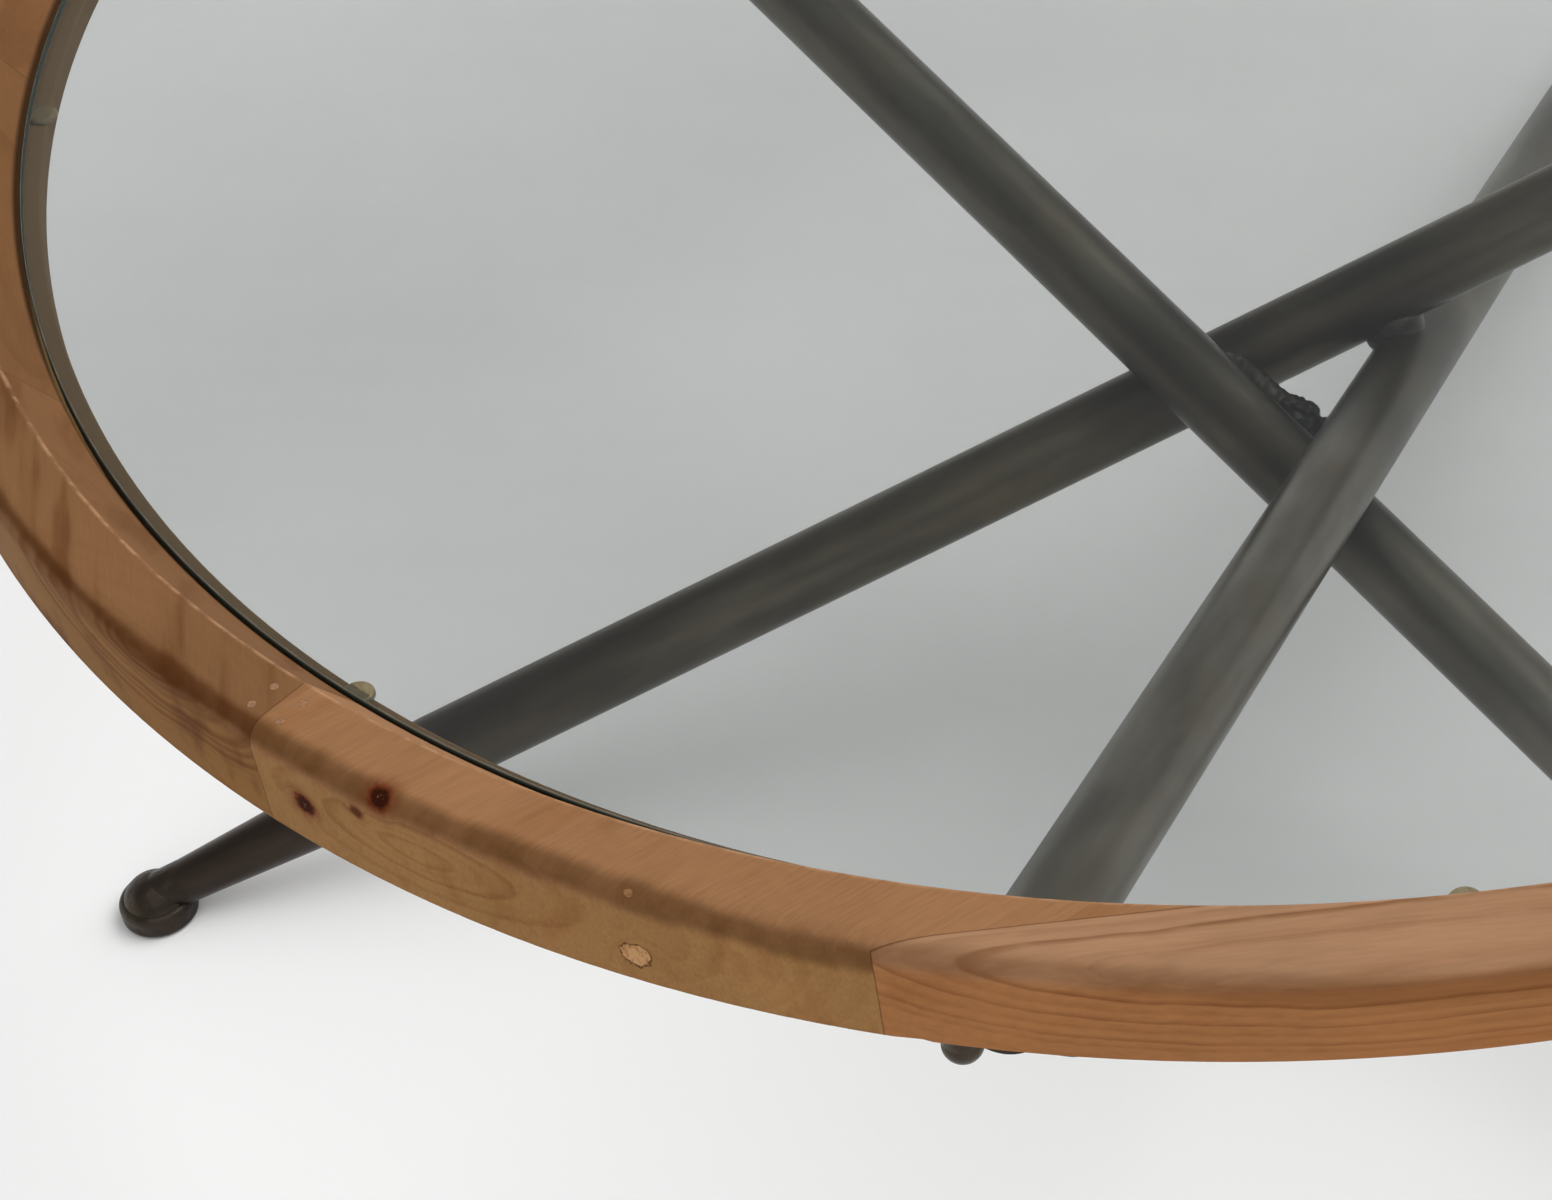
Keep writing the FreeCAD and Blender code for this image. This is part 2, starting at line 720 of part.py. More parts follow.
def mount_plate(index):
    """Flat plate between a stem and the underside of the rim, with countersunk holes."""
    body = new_body(f"mount_plate_{index + 1}")
    half_width, half_length = size("plate_width") / 2, size("plate_length") / 2
    outline = new_sketch(body, f"plate_outline_{index + 1}", "XY_Plane")
    bind(outline, "AttachmentOffset.Base.z", rim_bottom - size("plate_thickness"))
    draw_polygon(outline, [
        (mount_radius - half_width, -half_length),
        (mount_radius + half_width, -half_length),
        (mount_radius + half_width, half_length),
        (mount_radius - half_width, half_length),
    ])
    plate = body.newObject("PartDesign::Pad", f"plate_{index + 1}")
    plate.Profile = outline
    bind(plate, "Length", size("plate_thickness"))
    body.Tip = plate
    document.recompute()
    upright = [
        f"Edge{number}"
        for number, edge in enumerate(plate.Shape.Edges, start=1)
        if abs(edge.tangentAt(edge.FirstParameter).z) > 1 - match_tolerance
    ]
    corners = body.newObject("PartDesign::Fillet", f"plate_corners_{index + 1}")
    corners.Base = (plate, upright)
    bind(corners, "Radius", size("plate_corner_radius"))
    body.Tip = corners
    document.recompute()
    for number, (out, along) in enumerate(screw_places, start=1):
        hole_radius = size("screw_diameter") / 2 + size("screw_clearance")
        head_radius = size("screw_head_diameter") / 2 + size("screw_clearance")
        low = rim_bottom - size("plate_thickness")
        profile = new_sketch(body, f"hole_profile_{index + 1}_{number}")
        shift_sketch(profile, mount_radius + out, along)
        draw_polygon(profile, [
            (zero, low),
            (head_radius, low),
            (hole_radius, low + size("screw_head_height")),
            (hole_radius, rim_bottom),
            (zero, rim_bottom),
        ])
        before = body.Shape.Volume
        hole = body.newObject("PartDesign::Groove", f"hole_{index + 1}_{number}")
        hole.Profile = profile
        hole.ReferenceAxis = (profile, ["V_Axis"])
        hole.Angle = 360.0
        body.Tip = hole
        document.recompute()
        if not body.Shape.Volume < before:
            raise RuntimeError(f"{body.Label}: hole {number} cuts nothing")
    body.Placement = turned(mount_angle(index))


def mount_screws():
    """Countersunk screws, four to a plate, driven up into the rim."""
    body = new_body("mount_screws")
    body.AllowCompound = True
    low = rim_bottom - size("plate_thickness")
    shank, head = size("screw_diameter") / 2, size("screw_head_diameter") / 2
    screws = []
    for number, (out, along) in enumerate(screw_places, start=1):
        profile = new_sketch(body, f"screw_profile_{number}")
        shift_sketch(profile, mount_radius + out, along)
        draw_polygon(profile, [
            (zero, low),
            (head, low),
            (shank, low + size("screw_head_height")),
            (shank, low + size("screw_length") - size("screw_point_length")),
            (zero, low + size("screw_length")),
        ])
        screws.append(revolve(body, f"screw_{number}", profile))
        document.recompute()
    pattern(body, "screw_ring", screws, size("leg_count"))
    body.Placement = turned(mount_angle(0))


def add_part(kind, name, placement, **lengths):
    """Add a plain solid to the document, with its sizes tied to the sheet."""
    item = document.addObject(f"Part::{kind}", name)
    for prop, length in lengths.items():
        bind(item, prop, length)
    item.Placement = placement
    return item


def crossing_weld(index):
    """Lumpy weld in the crevices where two tubes pass, cut to fit against both."""
    lower, upper = leg_frame(index), leg_frame((index + 1) % sizes["leg_count"])
    first = lower.Rotation.multVec(FreeCAD.Vector(0, 0, 1))
    second = upper.Rotation.multVec(FreeCAD.Vector(0, 0, 1))
    across = first.cross(second)
    between = upper.Base - lower.Base
    near = lower.Base + first * (between.cross(second).dot(across) / across.dot(across))
    far = upper.Base + second * (between.cross(first).dot(across) / across.dot(across))
    middle = (near + far) * 0.5
    inward = FreeCAD.Vector(-middle.x, -middle.y, 0).normalize()
    inward = inward - across * (inward.dot(across) / across.dot(across))
    no_turn = FreeCAD.Rotation()
    blob = add_part("Sphere", f"weld_blob_{index + 1}", FreeCAD.Placement(middle, no_turn),
                    Radius=size("weld_radius"))
    shifted = middle + inward.normalize() * sizes["weld_bead_shift"]
    bead = add_part("Sphere", f"weld_bead_{index + 1}", FreeCAD.Placement(shifted, no_turn),
                    Radius=size("weld_bead_radius"))
    metal = document.addObject("Part::MultiFuse", f"weld_metal_{index + 1}")
    metal.Shapes = [blob, bead]
    tools = []
    for number, frame in enumerate((lower, upper), start=1):
        tools.append(add_part("Cylinder", f"weld_seat_{index + 1}_{number}", frame,
                              Radius=size("tube_diameter") / 2, Height=size("leg_length")))
    seats = document.addObject("Part::MultiFuse", f"weld_seats_{index + 1}")
    seats.Shapes = tools
    weld = document.addObject("Part::Cut", f"crossing_weld_{index + 1}")
    weld.Base = metal
    weld.Tool = seats
    return weld


def check_document():
    """Stop if any object of the document failed to build."""
    for item in document.Objects:
        if "Invalid" in item.State or "Error" in item.State:
            raise RuntimeError(f"{item.Label} failed: {item.State}")


def write_parts(items):
    os.makedirs("parts", exist_ok=True)
    for item in items:
        shape = item.Shape
        if shape.isNull() or not shape.isValid() or not shape.Solids:
            raise RuntimeError(f"{item.Label} is not a sound solid")
        if not item.Label == item.Name:
            raise RuntimeError(f"{item.Label} is not a free name")
    for item in items:
        item.Shape.exportStep(f"parts/{item.Label}.step")
        print(item.Label, len(item.Shape.Solids), round(item.Shape.Volume))


for segment in range(sizes["segment_count"]):
    rim_segment(segment)
joint_tenons()
joint_plugs()
glass_top()
glass_bumpers()
for leg in range(sizes["leg_count"]):
    leg_tube(leg)
    leg_foot(leg)
    leg_stem(leg)
    mount_plate(leg)
mount_screws()
welds = [crossing_weld(leg) for leg in range(sizes["leg_count"])]
document.recompute()
check_document()
bodies = [item for item in document.Objects if item.TypeId == "PartDesign::Body"]
write_parts(bodies + welds)
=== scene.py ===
"""Looks of a round coffee table: segmented wooden rim, loose glass top and a base of crossed steel tubes."""

import math
import random

import bmesh
import bpy
import numpy as np
from mathutils import Matrix, Vector, noise


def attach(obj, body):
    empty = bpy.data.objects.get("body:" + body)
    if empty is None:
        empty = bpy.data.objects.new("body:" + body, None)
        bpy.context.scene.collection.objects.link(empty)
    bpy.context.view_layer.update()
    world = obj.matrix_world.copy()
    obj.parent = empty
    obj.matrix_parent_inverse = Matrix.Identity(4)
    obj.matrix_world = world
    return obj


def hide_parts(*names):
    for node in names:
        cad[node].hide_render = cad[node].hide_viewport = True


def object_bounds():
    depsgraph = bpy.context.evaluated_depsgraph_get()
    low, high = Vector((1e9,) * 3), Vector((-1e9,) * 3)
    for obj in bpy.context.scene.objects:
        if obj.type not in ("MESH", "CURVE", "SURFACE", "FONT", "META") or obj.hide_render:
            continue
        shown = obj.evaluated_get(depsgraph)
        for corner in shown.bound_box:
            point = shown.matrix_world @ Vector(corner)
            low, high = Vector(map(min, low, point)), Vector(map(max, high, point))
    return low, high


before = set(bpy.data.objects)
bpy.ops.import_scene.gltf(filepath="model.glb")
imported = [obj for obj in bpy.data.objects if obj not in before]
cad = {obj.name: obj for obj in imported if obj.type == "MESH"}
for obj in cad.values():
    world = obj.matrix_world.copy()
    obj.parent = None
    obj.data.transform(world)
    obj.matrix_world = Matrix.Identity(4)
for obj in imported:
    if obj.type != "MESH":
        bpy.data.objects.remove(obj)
cad_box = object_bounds()

MM = 0.001

# Sizes of the solids that the looks follow. Angles are azimuths about the table's axis in degrees.
OUTER_RADIUS = cad_box[1].x
RIM_TOP = cad_box[1].z
RIM_HEIGHT = 42 * MM
LOWER_ROUND = 2 * MM
SHOULDER_ROUND = 8 * MM
RIDGE_RADIUS = OUTER_RADIUS - 25.5 * MM
LIP_RADIUS = RIDGE_RADIUS - 16.5 * MM
GLASS_RADIUS = LIP_RADIUS - 1.5 * MM
SEGMENTS = 15
SEGMENT_ANGLE = 360 / SEGMENTS
FIRST_JOINT = -124
# The second segment is a bow, scarfed onto the outside of its two neighbours.
SCARF_ANGLE = -80
SCARF_INSET = 31.6 * MM
BOW_TURN = 39
LEGS = 3


def linear(red, green, blue):
    """Scene-linear colour from 0 to 255 screen values."""
    def one(value):
        share = value / 255
        return share / 12.92 if share <= 0.04045 else ((share + 0.055) / 1.055) ** 2.4
    return one(red), one(green), one(blue), 1.0


def polar(radius, angle, height=0.0):
    turn = math.radians(angle)
    return Vector((radius * math.cos(turn), radius * math.sin(turn), height))


def heading(azimuth, elevation):
    """Unit vector towards an azimuth and elevation in degrees."""
    return polar(math.cos(math.radians(elevation)), azimuth, math.sin(math.radians(elevation)))


class Graph:
    """Short calls that build the node tree of one material or world."""

    def __init__(self, owner, output="ShaderNodeOutputMaterial"):
        self.owner = owner
        owner.use_nodes = True
        self.tree = owner.node_tree
        self.tree.nodes.clear()
        self.output = self.node(output)

    def feed(self, socket, value):
        if isinstance(value, bpy.types.NodeSocket):
            self.tree.links.new(value, socket)
        else:
            socket.default_value = value

    def node(self, kind, inputs=None, **settings):
        made = self.tree.nodes.new(kind)
        for key, value in settings.items():
            setattr(made, key, value)
        for key, value in (inputs or {}).items():
            self.feed(made.inputs[key], value)
        return made

    def math(self, operation, *values):
        made = self.node("ShaderNodeMath", operation=operation)
        for socket, value in zip(made.inputs, values):
            self.feed(socket, value)
        return made.outputs[0]

    def add(self, *values):
        total = values[0]
        for value in values[1:]:
            total = self.math("ADD", total, value)
        return total

    def times(self, *values):
        total = values[0]
        for value in values[1:]:
            total = self.math("MULTIPLY", total, value)
        return total

    def vector(self, operation, *values):
        made = self.node("ShaderNodeVectorMath", operation=operation)
        for socket, value in zip(made.inputs, values):
            self.feed(socket, value)
        return made.outputs["Value" if operation in ("LENGTH", "DOT_PRODUCT", "DISTANCE") else "Vector"]

    def place(self, kind="Object"):
        return self.node("ShaderNodeTexCoord").outputs[kind]

    def radius(self, place):
        """Distance from the table's axis."""
        return self.vector("LENGTH", self.vector("MULTIPLY", place, (1, 1, 0)))

    def mapped(self, point, shift=(0, 0, 0), turn=(0, 0, 0), scale=(1, 1, 1)):
        inputs = {"Vector": point, "Location": shift, "Rotation": turn, "Scale": scale}
        return self.node("ShaderNodeMapping", inputs).outputs[0]

    def parts(self, point):
        return self.node("ShaderNodeSeparateXYZ", {"Vector": point}).outputs

    def joined(self, x, y, z):
        return self.node("ShaderNodeCombineXYZ", {"X": x, "Y": y, "Z": z}).outputs[0]

    def noise(self, point, scale, detail=2.0, roughness=0.5, colour=False):
        inputs = {"Vector": point, "Scale": scale, "Detail": detail, "Roughness": roughness}
        made = self.node("ShaderNodeTexNoise", inputs)
        return made.outputs["Color" if colour else "Fac"]

    def span(self, value, low, high, out_low=0.0, out_high=1.0, kind="SMOOTHSTEP"):
        """Value mapped from one range to another, held at the ends."""
        inputs = {"Value": value, "From Min": low, "From Max": high, "To Min": out_low, "To Max": out_high}
        return self.node("ShaderNodeMapRange", inputs, interpolation_type=kind).outputs[0]

    def fade(self, value, low, high):
        """1 up to the low value and 0 from the high value on."""
        return self.span(value, low, high, 1.0, 0.0)

    def ramp(self, value, stops):
        """Grey levels at the given places."""
        made = self.node("ShaderNodeValToRGB", {"Fac": value})
        elements = made.color_ramp.elements
        while len(elements) < len(stops):
            elements.new(1.0)
        for element, (position, level) in zip(elements, stops):
            element.position = position
            element.color = (level, level, level, 1)
        return made.outputs[0]

    def mix(self, factor, first, second, blend="MIX"):
        made = self.node("ShaderNodeMix", data_type="RGBA", blend_type=blend)
        colours = [socket for socket in made.inputs if socket.type == "RGBA"]
        self.feed(made.inputs[0], factor)
        self.feed(colours[0], first)
        self.feed(colours[1], second)
        return next(socket for socket in made.outputs if socket.type == "RGBA")

    def bump(self, height, distance, strength=1.0):
        inputs = {"Height": height, "Distance": distance, "Strength": strength}
        return self.node("ShaderNodeBump", inputs).outputs[0]

    def show(self, shader):
        """Make a shader the one that is seen."""
        self.tree.links.new(shader.outputs[0], self.output.inputs["Surface"])

    def surface(self, **inputs):
        shader = self.node("ShaderNodeBsdfPrincipled")
        for key, value in inputs.items():
            self.feed(shader.inputs[key.replace("_", " ")], value)
        self.show(shader)
        return shader


def material_graph(name):
    return Graph(bpy.data.materials.new(name))


# Wood. Insets and drops are millimetres inwards from the rim's outer radius and down from its top.

RAW = linear(102, 84, 55)
PAINTED_WALL_SHADE = linear(44, 30, 20)
BEVEL_WITH_PAINTED_LIGHT = linear(160, 110, 74)
RIDGE_HIGHLIGHT_AND_WEAR = linear(188, 146, 112)
JOINT = linear(64, 36, 20)
KNOT_DARK = linear(50, 22, 11)
KNOT_RED = linear(102, 48, 24)
KNOT_FLECK = linear(170, 120, 90)
SCAR_DARK = linear(160, 116, 74)
SCAR_LIGHT = linear(186, 144, 102)
SCAR_RIM = linear(72, 42, 22)


class Board:
    """How one rim segment was cut from its board and what its wood looks like."""

    def __init__(self, middle, early, late, **more):
        self.middle = middle
        self.early = early
        self.late = late
        # Growth rings: azimuth, inset and drop of the pith, how far they are drawn out along it,
        # radius, width and strength of the rings that stand out, spacing and strength of the rest,
        # how far they stray, and the share of them that shows on the flat top.
        self.pith = more.get("pith")
        self.stretch = more.get("stretch", 0.0)
        self.bold = more.get("bold", [])
        self.spacing = more.get("spacing", 4.0)
        self.contrast = more.get("contrast", 0.25)
        self.wander = more.get("wander", 3.0)
        self.flat = more.get("flat", 1.0)
        # Fibres: azimuth, strength of the fine ones and of the broad streaks, colour of the streaks.
        self.fibre = more.get("fibre", middle + 90)
        self.fine = more.get("fine", 0.10)
        self.streaks = more.get("streaks", 0.12)
        self.stain = more.get("stain", late)
        # Band of painted shade over the shoulder: azimuths and drops between which it runs, half width,
        # strength and colour. The outer face's and the bevel's colours are set lighter or darker than the top
        # as painted light for how those faces are lit.
        self.band = more.get("band")
        self.outer = more.get("outer", early)
        self.bevel = more.get("bevel", BEVEL_WITH_PAINTED_LIGHT)
        # Knots: azimuth, inset, drop, width and darkness, which is below 0 for a pale scar.
        self.knots = more.get("knots", [])
        self.joints = more.get("joints", [middle - SEGMENT_ANGLE / 2, middle + SEGMENT_ANGLE / 2])
        self.scarf = more.get("scarf", False)
        self.seed = more.get("seed", middle * 0.37)


def other_board(number):
    """A board for a segment that the photograph doesn't show."""
    draw = random.Random(40 + number)
    middle = FIRST_JOINT + SEGMENT_ANGLE * (number - 0.5)
    light, warm = draw.uniform(0, 1), draw.uniform(-4, 4)
    early = linear(132 + 22 * light, 91 + 18 * light, 56 + 14 * light + warm)
    late = linear(94 + 22 * light, 56 + 16 * light, 30 + 12 * light + warm)
    return Board(
        middle, early, late,
        pith=(middle + draw.uniform(-8, 8), draw.uniform(-20, 60),
              draw.choice((-1, 1)) * draw.uniform(14, 60)),
        stretch=draw.choice((0.0, 0.05, 0.12)), spacing=draw.uniform(3, 6),
        contrast=draw.uniform(0.12, 0.35), fibre=middle + 90 + draw.uniform(-20, 20),
        fine=0.10, streaks=draw.uniform(0.08, 0.2),
        band=(middle - 12, middle + 12, 24, 26, 6.5, draw.uniform(0.2, 0.5), linear(82, 52, 28)),
    )


boards = {number: other_board(number) for number in range(1, SEGMENTS + 1)}
boards[13] = Board(
    -184, linear(120, 84, 52), linear(84, 50, 26), pith=(-182, 10, 40), spacing=4.5, contrast=0.2,
    bevel=linear(104, 71, 45), band=(-196, -172, 24, 25, 6.0, 0.5, linear(76, 46, 24)), seed=7.7)
boards[14] = Board(
    -160, linear(112, 78, 48), linear(84, 50, 26), pith=(-158, 10, 40), spacing=4.5, contrast=0.2,
    bevel=linear(110, 77, 48), band=(-172, -148, 24, 25, 6.0, 0.5, linear(76, 46, 24)), seed=1.3)
boards[15] = Board(
    -136, linear(122, 86, 55), linear(94, 53, 27),
    pith=(-130.0, 2, 1), stretch=0.30,
    bold=[(2.6, 1.3, 0.75), (4.9, 1.2, 0.7), (7.0, 1.1, 0.6), (9.2, 1.2, 0.5), (12.5, 1.2, 0.4),
          (17.5, 1.4, 0.55), (20.5, 1.0, 0.45), (24.5, 1.3, 0.5)],
    spacing=3.4, contrast=0.10, wander=5.0, flat=0.12,
    fibre=-74, fine=0.05, streaks=0.30, stain=linear(92, 56, 30),
    outer=linear(130, 92, 51), bevel=linear(114, 79, 50),
    band=(-140, -126, 24.2, 24.4, 4.4, 0.85, linear(82, 48, 23)), seed=2.6)
boards[1] = Board(
    -100, linear(144, 103, 69), linear(108, 66, 34),
    pith=(-116.6, 0, 17), stretch=0.30,
    bold=[(4.6, 0.8, 0.35), (11.5, 1.0, 0.35), (18.5, 1.2, 0.30)],
    spacing=3.8, contrast=0.07, wander=3.0, flat=0.3,
    fibre=41, fine=0.09, streaks=0.14, stain=linear(122, 76, 40),
    outer=linear(146, 107, 65), bevel=linear(156, 116, 82),
    band=(-113, -99, 24.9, 32.6, 7.2, 0.74, linear(86, 56, 28)),
    knots=[(-121.8, 0, 22.0, 3.5, 1.0), (-118.0, 2.5, 2.2, 3.5, 1.0), (-119.05, 0, 11.2, 2.1, 0.6),
           (-108.1, 0, 28.9, 5.2, -1.0), (-108.0, 2.0, 2.7, 1.5, -0.4)],
    joints=[-124, -76], scarf=True, seed=4.1)
boards[2] = Board(
    -80, linear(158, 119, 87), linear(104, 58, 30),
    pith=(-80, 0, -10), stretch=0.0,
    bold=[(20.5, 1.4, 0.15), (26.7, 1.0, 0.6), (31.0, 1.6, 0.2), (35.4, 0.9, 0.48),
          (39.5, 1.2, 0.22), (44.0, 0.9, 0.36), (47.0, 1.0, 0.22)],
    spacing=3.1, contrast=0.09, wander=2.2,
    fibre=10, fine=0.07, streaks=0.12, stain=linear(126, 74, 38),
    outer=linear(151, 102, 62), band=(-96, -80, 28.4, 38.3, 7.8, 0.5, linear(102, 62, 32)),
    joints=[], scarf=True, seed=8.3)
boards[3] = Board(
    -64, linear(150, 104, 66), linear(108, 66, 36), pith=(-60, 20, -30), spacing=4.2, contrast=0.25,
    band=(-76, -52, 24, 25, 6.5, 0.4, linear(90, 58, 34)), joints=[-76, -52], scarf=True, seed=5.9)


class Wood:
    """Builds the material of one rim segment, coat by coat."""

    def __init__(self, number):
        self.board = boards[number]
        self.graph = graph = material_graph(f"rim_wood_{number:02d}")
        self.place = graph.place()
        self.radius = graph.radius(self.place)
        self.drop = graph.math("SUBTRACT", RIM_TOP, graph.parts(self.place)[2])
        self.colour = self.board.early

        # Fine fibres, broad streaks and patches, all drawn out along the grain.
        seed = self.board.seed
        along = graph.mapped(self.place, turn=(0, 0, math.radians(90 - self.board.fibre)))
        self.fibre = graph.noise(graph.mapped(along, scale=(1000, 60, 500)), 1.0, 2.0, 0.6)
        self.streak = graph.noise(graph.mapped(along, (seed, 0, 0), scale=(110, 12, 50)), 1.0, 2.0, 0.5)
        self.patch = graph.noise(graph.mapped(along, (seed, 2, 0), scale=(32, 12, 24)), 1.0, 3.0, 0.55)

        self.knots = [self.knot(*knot) for knot in self.board.knots]
        self.figure()
        self.mouldings()
        band = self.band()
        self.ridge()
        self.draw_knots()
        joint = self.draw_joints()

        height = graph.add(graph.times(self.fibre, 0.3), graph.times(joint, -1.5))
        rough = graph.add(graph.span(self.fibre, 0.3, 0.7, 0.46, 0.54, "LINEAR"), graph.times(band, 0.05))
        graph.surface(Base_Color=self.colour, Roughness=rough, Specular_IOR_Level=0.01,
                      Normal=graph.bump(height, 0.08 * MM, 0.5))
        self.material = graph.owner

    def coat(self, share, colour):
        """Lay a share of a colour over what is there."""
        self.colour = self.graph.mix(share, self.colour, colour)

    def knot(self, around, inwards, below, width, dark):
        """Distance from a knot's middle in widths with a ragged edge, nearness, width and darkness."""
        graph = self.graph
        centre = polar(OUTER_RADIUS - inwards * MM, around, RIM_TOP - below * MM)
        away = graph.vector("DISTANCE", self.place, tuple(centre))
        ragged = graph.math("SUBTRACT", graph.noise(self.place, 420.0, 2.0), 0.5)
        edge = graph.math("DIVIDE", graph.add(away, graph.times(ragged, 0.9 * width * MM)), width * MM)
        return edge, graph.fade(edge, 0.8, 3.2), width, dark

    def shells(self):
        """Distance from the pith, with the growth rings' stray and their bends round the knots."""
        graph, board = self.graph, self.board
        azimuth, inset, depth = board.pith
        loose = graph.noise(graph.mapped(self.place, (board.seed, 0, 0)), 26.0, 2.0, colour=True)
        loose = graph.vector("SUBTRACT", loose, (0.5, 0.5, 0.5))
        bent = graph.vector("ADD", self.place, graph.vector("MULTIPLY", loose, (2 * board.wander * MM,) * 3))
        shift = (inset * MM - OUTER_RADIUS, 0, depth * MM - RIM_TOP)
        shell = graph.mapped(bent, shift, (0, 0, -math.radians(azimuth)))
        distance = graph.vector("LENGTH", graph.vector("MULTIPLY", shell, (1, board.stretch, 1)))
        for edge, near, width, dark in self.knots:
            distance = graph.add(distance, graph.times(near, 1.4 * width * MM))
        return distance

    def rings(self):
        """Share of late wood: the rings that stand out and the plain ones between them."""
        graph, board = self.graph, self.board
        distance = self.shells()
        rings = 0.0
        for size, width, strength in board.bold:
            inside = graph.span(distance, (size - 2.2 * width) * MM, size * MM)
            outside = graph.fade(distance, size * MM, (size + 0.7 * width) * MM)
            rings = graph.add(rings, graph.times(inside, outside, strength))
        uneven = graph.noise(graph.joined(graph.times(distance, 70), board.seed, 0), 1.0, 2.0)
        phase = graph.add(graph.math("DIVIDE", distance, board.spacing * MM), graph.times(uneven, 1.8))
        share = graph.math("FRACT", phase)
        year = graph.times(graph.math("FLOOR", phase), 1.7)
        each = graph.noise(graph.joined(year, board.seed, 3), 1.0, 0.0)
        late = graph.times(graph.span(share, 0.2, 0.85), graph.fade(share, 0.9, 1.0))
        rings = graph.add(rings, graph.times(late, graph.span(each, 0.35, 0.65), 2 * board.contrast))
        worn = graph.noise(graph.mapped(self.place, (board.seed, 5, 0)), 34.0, 3.0, 0.6)
        return graph.times(rings, graph.span(worn, 0.25, 0.55, 0.45, 1.0),
                           graph.span(self.drop, 0.1 * MM, 2.5 * MM, board.flat, 1.0))

    def figure(self):
        """Early wood, streaks and rings, with a tone that varies along the grain."""
        graph, board = self.graph, self.board
        # Painted light: where a board gives one, the outer face gets a colour of its own, set lighter or
        # darker than the top for how the light falls on it.
        face = graph.times(graph.span(self.drop, 4 * MM, 12 * MM),
                           graph.span(self.radius, RIDGE_RADIUS, OUTER_RADIUS - 2 * MM))
        self.coat(face, board.outer)
        self.coat(graph.times(graph.span(self.streak, 0.48, 0.72), board.streaks * 2.4), board.stain)
        self.coat(graph.math("MINIMUM", self.rings(), 0.9), board.late)
        tone = graph.add(graph.span(self.patch, 0.3, 0.7, 0.92, 1.07, "LINEAR"),
                         graph.span(self.fibre, 0.3, 0.7, -board.fine, board.fine, "LINEAR"))
        tones = graph.joined(graph.times(tone, 1.04), graph.times(tone, 1.07), graph.times(tone, 1.13))
        self.colour = graph.mix(1.0, self.colour, tones, "MULTIPLY")

    def mouldings(self):
        """Bevel towards the glass, ledge under it and painted shade in the corner between them."""
        graph = self.graph
        # Painted light: the bevel gets a colour of its own, lighter or darker than the top for how the light
        # falls on it.
        self.coat(graph.times(graph.fade(self.radius, RIDGE_RADIUS - 1 * MM, RIDGE_RADIUS), 0.45),
                  self.board.bevel)
        self.coat(graph.times(graph.fade(self.radius, LIP_RADIUS - 0.2 * MM, LIP_RADIUS), 0.8), RAW)
        # Painted shade: the rebate's wall corner is coloured dark where the lip shades it.
        wall_shade = graph.times(graph.span(self.radius, LIP_RADIUS - 0.9 * MM, LIP_RADIUS - 0.3 * MM),
                           graph.fade(self.radius, LIP_RADIUS, LIP_RADIUS + 1.2 * MM))
        self.coat(graph.times(wall_shade, 0.75), PAINTED_WALL_SHADE)

    def band(self):
        """Band of painted shade over the shoulder, frayed by the patches and streaks."""
        graph, board = self.graph, self.board
        first, last, high, low, half, strength, shade = board.band
        turned = graph.parts(graph.mapped(self.place, turn=(0, 0, -math.radians(board.middle))))
        angle = graph.times(graph.math("ARCTAN2", turned[1], turned[0]), math.degrees(1))
        run = graph.add(graph.math("SUBTRACT", self.radius, RIDGE_RADIUS), self.drop)
        middle = graph.span(angle, first - board.middle, last - board.middle, high * MM, low * MM)
        off = graph.math("ABSOLUTE", graph.math("SUBTRACT", run, middle))
        frayed = graph.add(off, graph.times(graph.math("SUBTRACT", self.patch, 0.5), 9 * MM))
        band = graph.times(graph.fade(frayed, half * 0.35 * MM, half * 1.25 * MM),
                           graph.span(self.streak, 0.2, 0.7, 0.7, 1.0))
        self.coat(graph.times(band, strength), shade)
        return band

    def ridge(self):
        """Light line where the bevel starts: painted highlight on the ridge's small round, together with
        scratched wear.
        """
        graph = self.graph
        off = graph.math("ABSOLUTE", graph.math("SUBTRACT", self.radius, RIDGE_RADIUS))
        scratch = graph.noise(self.place, 130.0, 3.0, 0.6)
        highlight_and_wear = graph.times(graph.fade(off, 0.15 * MM, 1.3 * MM), graph.span(scratch, 0.4, 0.62, 0.15, 1.0))
        self.coat(graph.times(highlight_and_wear, 0.5), RIDGE_HIGHLIGHT_AND_WEAR)

    def draw_knots(self):
        """Dark knots with a red halo and flecks, and pale scars with a dark rim."""
        graph = self.graph
        halo = 0.0
        for edge, near, width, dark in self.knots:
            halo = graph.add(halo, graph.times(near, 0.45 * max(dark, 0.0)))
        if self.knots:
            self.coat(halo, KNOT_RED)
        for edge, near, width, dark in self.knots:
            if dark > 0:
                self.coat(graph.times(graph.fade(edge, 1.0, 1.7), dark), KNOT_RED)
                self.coat(graph.times(graph.fade(edge, 0.7, 1.35), dark), KNOT_DARK)
                fleck = graph.span(graph.noise(self.place, 900.0, 1.0), 0.6, 0.68)
                self.coat(graph.times(graph.fade(edge, 0.2, 0.6), fleck, 0.4 * dark), KNOT_FLECK)
            else:
                mottle = graph.mix(graph.span(self.fibre, 0.35, 0.6), SCAR_DARK, SCAR_LIGHT)
                self.coat(graph.times(graph.fade(edge, 0.85, 1.0), -dark), mottle)
                rim = graph.times(graph.span(edge, 0.85, 1.0), graph.fade(edge, 1.0, 1.15), 0.8 * -dark)
                self.coat(rim, SCAR_RIM)

